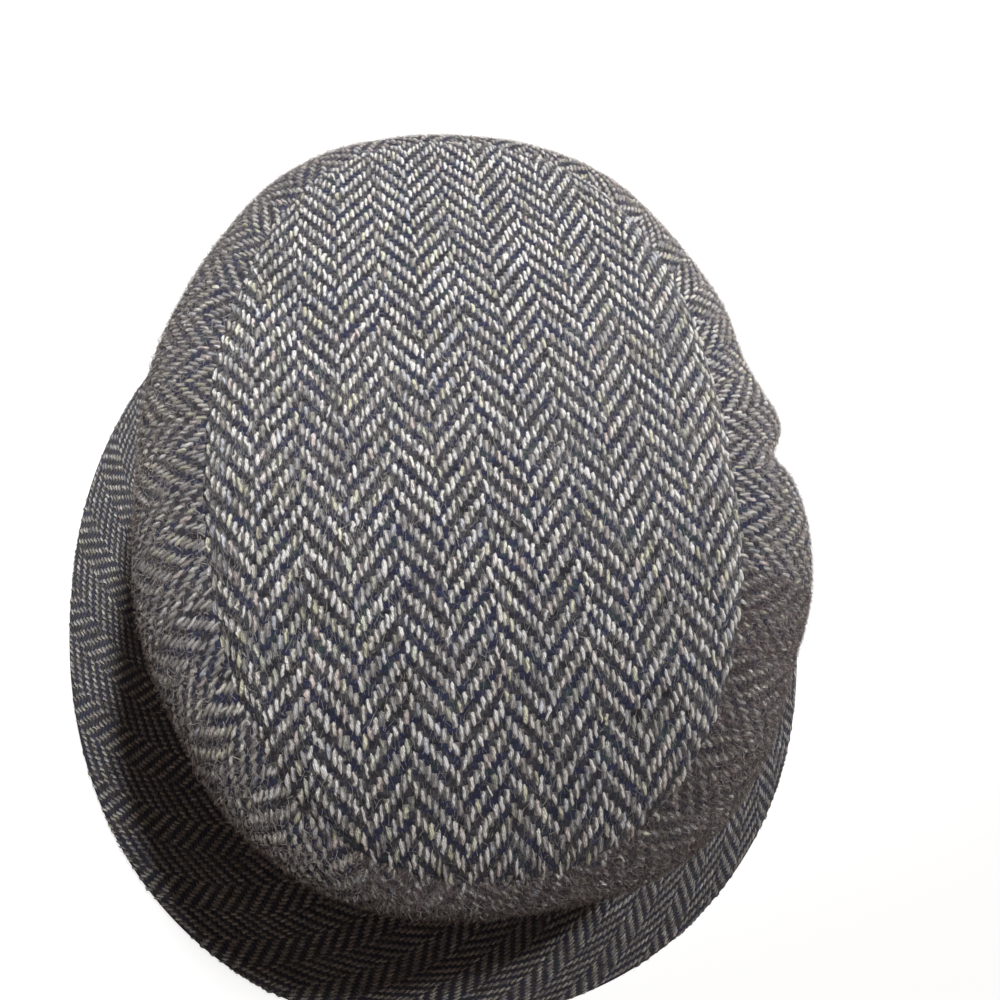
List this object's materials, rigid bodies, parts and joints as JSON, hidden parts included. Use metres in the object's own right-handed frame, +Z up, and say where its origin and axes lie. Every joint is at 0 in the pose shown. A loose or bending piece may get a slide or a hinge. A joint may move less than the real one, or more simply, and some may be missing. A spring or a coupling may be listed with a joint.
{
  "type": "irish walking hat",
  "caption": "Soft herringbone tweed walking hat with an oval domed tip, a bulging side band and a brim that slopes down all round.",
  "frame": {"origin": "on the floor, below the middle of the rim's oval", "axes": "+Y along the hat's length towards the far end, +X to the wearer's right, +Z up"},
  "size_m": [0.2668, 0.292, 0.1155],
  "materials": {
    "tweed": "woolly herringbone of cream and charcoal yarn"
  },
  "bodies": {
    "root": {"crown_tip": "tweed", "crown_side": "tweed", "brim": "tweed"}
  },
  "joints": []
}
